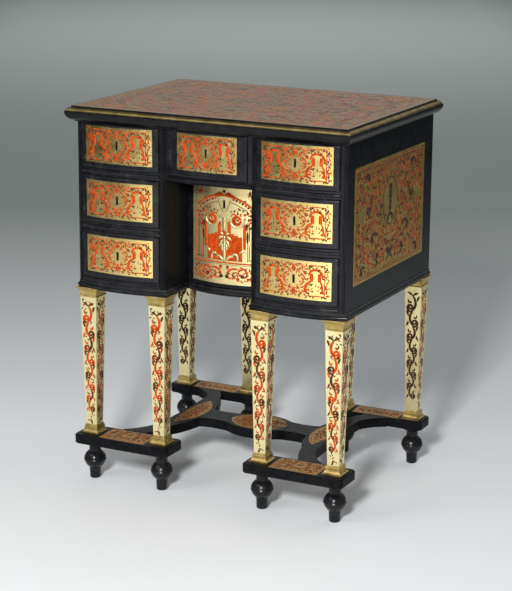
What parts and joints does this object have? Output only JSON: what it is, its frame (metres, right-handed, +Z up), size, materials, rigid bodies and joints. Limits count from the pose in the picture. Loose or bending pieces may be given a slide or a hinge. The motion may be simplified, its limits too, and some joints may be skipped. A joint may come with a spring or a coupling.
{
  "type": "bureau mazarin",
  "caption": "Small kneehole desk with bowed drawers in its pedestals, a recessed bowed cupboard door, and tapered square legs joined by curved stretchers over turned feet.",
  "frame": {"origin": "on the floor, under the middle of the top", "axes": "+Z up, +Y from the drawers to the back, +X to the sitter's right"},
  "size_m": [0.62, 0.462, 0.78],
  "materials": {
    "ebonised_wood": "polished black",
    "oak": "plain, waxed",
    "gilt_brass": "burnished",
    "front_marquetry": "brass inlaid with red tortoiseshell",
    "side_marquetry": "brass inlaid with red tortoiseshell, darker",
    "top_marquetry": "brass inlaid with red tortoiseshell, worn",
    "stretcher_marquetry": "brass inlaid with red tortoiseshell",
    "leg_marquetry": "pale brass sheathing with red scrollwork"
  },
  "bodies": {
    "carcase": {"back_board": "ebonised_wood", "bottom_boards": "ebonised_wood", "centre_drawer_stiles": "ebonised_wood", "cross_stretcher": "ebonised_wood", "cupboard_shelf": "ebonised_wood", "door_jambs": "ebonised_wood", "drawer_runners": "oak", "left_back_bar": "ebonised_wood", "left_back_inner_leg": "leg_marquetry", "left_back_outer_leg": "leg_marquetry", "left_drawer_rails": "ebonised_wood", "left_front_bar": "ebonised_wood", "left_front_inner_leg": "leg_marquetry", "left_front_outer_leg": "leg_marquetry", "left_inner_side": "ebonised_wood", "left_outer_side": "ebonised_wood", "left_side_marquetry": "side_marquetry", "left_side_stretcher": "ebonised_wood", "leg_capitals": "gilt_brass", "leg_sockets": "gilt_brass", "right_back_bar": "ebonised_wood", "right_back_inner_leg": "leg_marquetry", "right_back_outer_leg": "leg_marquetry", "right_drawer_rails": "ebonised_wood", "right_front_bar": "ebonised_wood", "right_front_inner_leg": "leg_marquetry", "right_front_outer_leg": "leg_marquetry", "right_inner_side": "ebonised_wood", "right_outer_side": "ebonised_wood", "right_side_marquetry": "side_marquetry", "right_side_stretcher": "ebonised_wood", "stretcher_marquetry": "stretcher_marquetry", "top_board": "ebonised_wood", "top_brass_band": "gilt_brass", "top_marquetry": "top_marquetry", "turned_feet": "ebonised_wood"},
    "left_bottom_drawer": {"left_bottom_drawer_box": "oak", "left_bottom_drawer_front": "ebonised_wood", "left_bottom_drawer_marquetry_and_lock": "front_marquetry"},
    "left_middle_drawer": {"left_middle_drawer_box": "oak", "left_middle_drawer_front": "ebonised_wood", "left_middle_drawer_marquetry_and_lock": "front_marquetry"},
    "left_top_drawer": {"left_top_drawer_box": "oak", "left_top_drawer_front": "ebonised_wood", "left_top_drawer_marquetry_and_lock": "front_marquetry"},
    "right_bottom_drawer": {"right_bottom_drawer_box": "oak", "right_bottom_drawer_front": "ebonised_wood", "right_bottom_drawer_marquetry_and_lock": "front_marquetry"},
    "right_middle_drawer": {"right_middle_drawer_box": "oak", "right_middle_drawer_front": "ebonised_wood", "right_middle_drawer_marquetry_and_lock": "front_marquetry"},
    "right_top_drawer": {"right_top_drawer_box": "oak", "right_top_drawer_front": "ebonised_wood", "right_top_drawer_marquetry_and_lock": "front_marquetry"},
    "centre_drawer": {"centre_drawer_box": "oak", "centre_drawer_front": "ebonised_wood", "centre_drawer_marquetry_and_lock": "front_marquetry"},
    "door": {"door_leaf": "ebonised_wood", "door_marquetry_and_lock": "front_marquetry", "door_pivots": "gilt_brass"}
  },
  "joints": [
    {"name": "left_bottom_drawer_slide", "type": "slide", "parent": "carcase", "child": "left_bottom_drawer", "axis": [0, -1, 0], "range_m": [0, 0.25]},
    {"name": "left_middle_drawer_slide", "type": "slide", "parent": "carcase", "child": "left_middle_drawer", "axis": [0, -1, 0], "range_m": [0, 0.25]},
    {"name": "left_top_drawer_slide", "type": "slide", "parent": "carcase", "child": "left_top_drawer", "axis": [0, -1, 0], "range_m": [0, 0.25]},
    {"name": "right_bottom_drawer_slide", "type": "slide", "parent": "carcase", "child": "right_bottom_drawer", "axis": [0, -1, 0], "range_m": [0, 0.25]},
    {"name": "right_middle_drawer_slide", "type": "slide", "parent": "carcase", "child": "right_middle_drawer", "axis": [0, -1, 0], "range_m": [0, 0.25]},
    {"name": "right_top_drawer_slide", "type": "slide", "parent": "carcase", "child": "right_top_drawer", "axis": [0, -1, 0], "range_m": [0, 0.25]},
    {"name": "centre_drawer_slide", "type": "slide", "parent": "carcase", "child": "centre_drawer", "axis": [0, -1, 0], "range_m": [0, 0.25]},
    {"name": "door_hinge", "type": "hinge", "parent": "carcase", "child": "door", "pos_m": [-0.0785, -0.118, 0.535], "axis": [0, 0, -1], "range_deg": [0, 80]}
  ]
}
